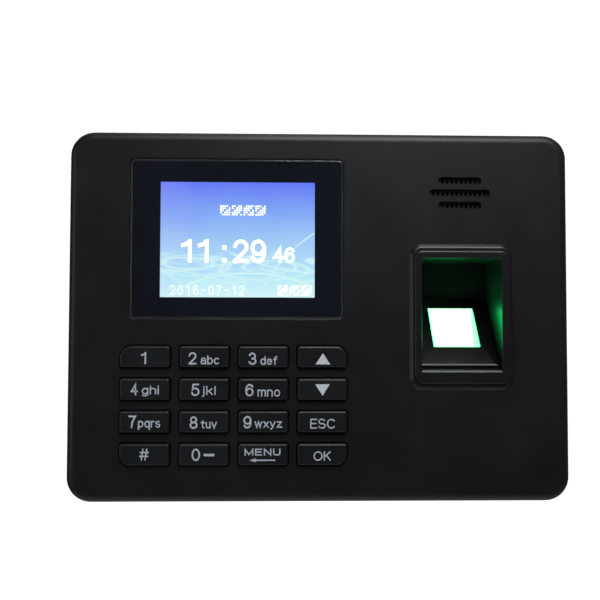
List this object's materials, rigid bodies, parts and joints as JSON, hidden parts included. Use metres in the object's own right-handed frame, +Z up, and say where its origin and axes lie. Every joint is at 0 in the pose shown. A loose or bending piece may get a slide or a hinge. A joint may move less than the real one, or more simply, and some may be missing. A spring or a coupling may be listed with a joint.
{
  "type": "fingerprint scanner terminal",
  "caption": "Wall-mounted terminal: slim black rounded case with a lit colour display, number keypad, speaker grille and a fingerprint reader sunk in a raised bezel.",
  "frame": {"origin": "on the wall, at the middle of the wall plate's back; the case is centred on it", "axes": "+X to the right for someone facing the terminal, +Y into the wall, +Z up"},
  "size_m": [0.186, 0.0374, 0.137],
  "materials": {
    "case_plastic": "fine moulded texture",
    "key_plastic": "satin",
    "bezel_plastic": "satin",
    "sensor_plastic": "satin",
    "platen_glass": "polished, lit green from below",
    "lens_glass": "polished",
    "window_acrylic": "polished, printed black round the screen",
    "screen_glass": "lit colour display",
    "backlight_white": "diffuse",
    "lcd_steel": "plain",
    "flex_polyimide": "film",
    "ribbon_vinyl": "film",
    "board_laminate": "solder mask",
    "chip_epoxy": "matt",
    "connector_nylon": "matt",
    "membrane_silicone": "matt",
    "foam": "cellular",
    "tape": "film",
    "socket_steel": "plated",
    "socket_plastic": "satin",
    "contact_brass": "nickel plated",
    "speaker_paper": "pressed",
    "speaker_steel": "plated",
    "lead_vinyl": "satin",
    "cell_steel": "stamped",
    "holder_plastic": "satin",
    "led_epoxy": "lit green",
    "case_screw_steel": "black zinc",
    "board_screw_steel": "zinc plated",
    "plate_steel": "galvanised"
  },
  "bodies": {
    "wall_plate": {"wall_plate": "plate_steel"},
    "terminal": {"front_cover": "case_plastic", "rear_cover": "case_plastic", "finger_bezel": "bezel_plastic", "sensor_housing": "sensor_plastic", "sensor_prism": "platen_glass", "sensor_lens": "lens_glass", "display_window": "window_acrylic", "lcd_panel": "screen_glass", "backlight_unit": "backlight_white", "lcd_frame": "lcd_steel", "lcd_flex": "flex_polyimide", "board_ribbon": "ribbon_vinyl", "sensor_cable": "ribbon_vinyl", "front_board": "board_laminate", "main_board": "board_laminate", "sensor_board": "board_laminate", "led_board": "board_laminate", "board_chips": "chip_epoxy", "board_connectors": "connector_nylon", "keypad_membrane": "membrane_silicone", "lcd_gasket": "foam", "speaker_gasket": "foam", "window_tape": "tape", "usb_socket": "socket_steel", "usb_tongue": "socket_plastic", "power_jack": "socket_plastic", "power_jack_pin": "contact_brass", "speaker_cone": "speaker_paper", "speaker_frame": "speaker_steel", "speaker_magnet": "speaker_steel", "speaker_leads": "lead_vinyl", "clock_cell": "cell_steel", "clock_cell_holder": "holder_plastic", "sensor_leds": "led_epoxy", "case_screws": "case_screw_steel", "front_board_screws": "board_screw_steel", "main_board_screws": "board_screw_steel", "sensor_screws": "board_screw_steel"},
    "key_1": {"key_1": "key_plastic"},
    "key_2": {"key_2": "key_plastic"},
    "key_3": {"key_3": "key_plastic"},
    "key_up": {"key_up": "key_plastic"},
    "key_4": {"key_4": "key_plastic"},
    "key_5": {"key_5": "key_plastic"},
    "key_6": {"key_6": "key_plastic"},
    "key_down": {"key_down": "key_plastic"},
    "key_7": {"key_7": "key_plastic"},
    "key_8": {"key_8": "key_plastic"},
    "key_9": {"key_9": "key_plastic"},
    "key_esc": {"key_esc": "key_plastic"},
    "key_hash": {"key_hash": "key_plastic"},
    "key_0": {"key_0": "key_plastic"},
    "key_menu": {"key_menu": "key_plastic"},
    "key_ok": {"key_ok": "key_plastic"}
  },
  "joints": [
    {"name": "unhook", "type": "slide", "parent": "wall_plate", "child": "terminal", "axis": [0, 0, 1], "range_m": [0, 0.008]},
    {"name": "press_1", "type": "slide", "parent": "terminal", "child": "key_1", "axis": [0, 1, 0], "range_m": [0, 0.0011], "stiffness_N_per_m": 400, "springref_m": -0.0012},
    {"name": "press_2", "type": "slide", "parent": "terminal", "child": "key_2", "axis": [0, 1, 0], "range_m": [0, 0.0011], "stiffness_N_per_m": 400, "springref_m": -0.0012},
    {"name": "press_3", "type": "slide", "parent": "terminal", "child": "key_3", "axis": [0, 1, 0], "range_m": [0, 0.0011], "stiffness_N_per_m": 400, "springref_m": -0.0012},
    {"name": "press_up", "type": "slide", "parent": "terminal", "child": "key_up", "axis": [0, 1, 0], "range_m": [0, 0.0011], "stiffness_N_per_m": 400, "springref_m": -0.0012},
    {"name": "press_4", "type": "slide", "parent": "terminal", "child": "key_4", "axis": [0, 1, 0], "range_m": [0, 0.0011], "stiffness_N_per_m": 400, "springref_m": -0.0012},
    {"name": "press_5", "type": "slide", "parent": "terminal", "child": "key_5", "axis": [0, 1, 0], "range_m": [0, 0.0011], "stiffness_N_per_m": 400, "springref_m": -0.0012},
    {"name": "press_6", "type": "slide", "parent": "terminal", "child": "key_6", "axis": [0, 1, 0], "range_m": [0, 0.0011], "stiffness_N_per_m": 400, "springref_m": -0.0012},
    {"name": "press_down", "type": "slide", "parent": "terminal", "child": "key_down", "axis": [0, 1, 0], "range_m": [0, 0.0011], "stiffness_N_per_m": 400, "springref_m": -0.0012},
    {"name": "press_7", "type": "slide", "parent": "terminal", "child": "key_7", "axis": [0, 1, 0], "range_m": [0, 0.0011], "stiffness_N_per_m": 400, "springref_m": -0.0012},
    {"name": "press_8", "type": "slide", "parent": "terminal", "child": "key_8", "axis": [0, 1, 0], "range_m": [0, 0.0011], "stiffness_N_per_m": 400, "springref_m": -0.0012},
    {"name": "press_9", "type": "slide", "parent": "terminal", "child": "key_9", "axis": [0, 1, 0], "range_m": [0, 0.0011], "stiffness_N_per_m": 400, "springref_m": -0.0012},
    {"name": "press_esc", "type": "slide", "parent": "terminal", "child": "key_esc", "axis": [0, 1, 0], "range_m": [0, 0.0011], "stiffness_N_per_m": 400, "springref_m": -0.0012},
    {"name": "press_hash", "type": "slide", "parent": "terminal", "child": "key_hash", "axis": [0, 1, 0], "range_m": [0, 0.0011], "stiffness_N_per_m": 400, "springref_m": -0.0012},
    {"name": "press_0", "type": "slide", "parent": "terminal", "child": "key_0", "axis": [0, 1, 0], "range_m": [0, 0.0011], "stiffness_N_per_m": 400, "springref_m": -0.0012},
    {"name": "press_menu", "type": "slide", "parent": "terminal", "child": "key_menu", "axis": [0, 1, 0], "range_m": [0, 0.0011], "stiffness_N_per_m": 400, "springref_m": -0.0012},
    {"name": "press_ok", "type": "slide", "parent": "terminal", "child": "key_ok", "axis": [0, 1, 0], "range_m": [0, 0.0011], "stiffness_N_per_m": 400, "springref_m": -0.0012}
  ]
}
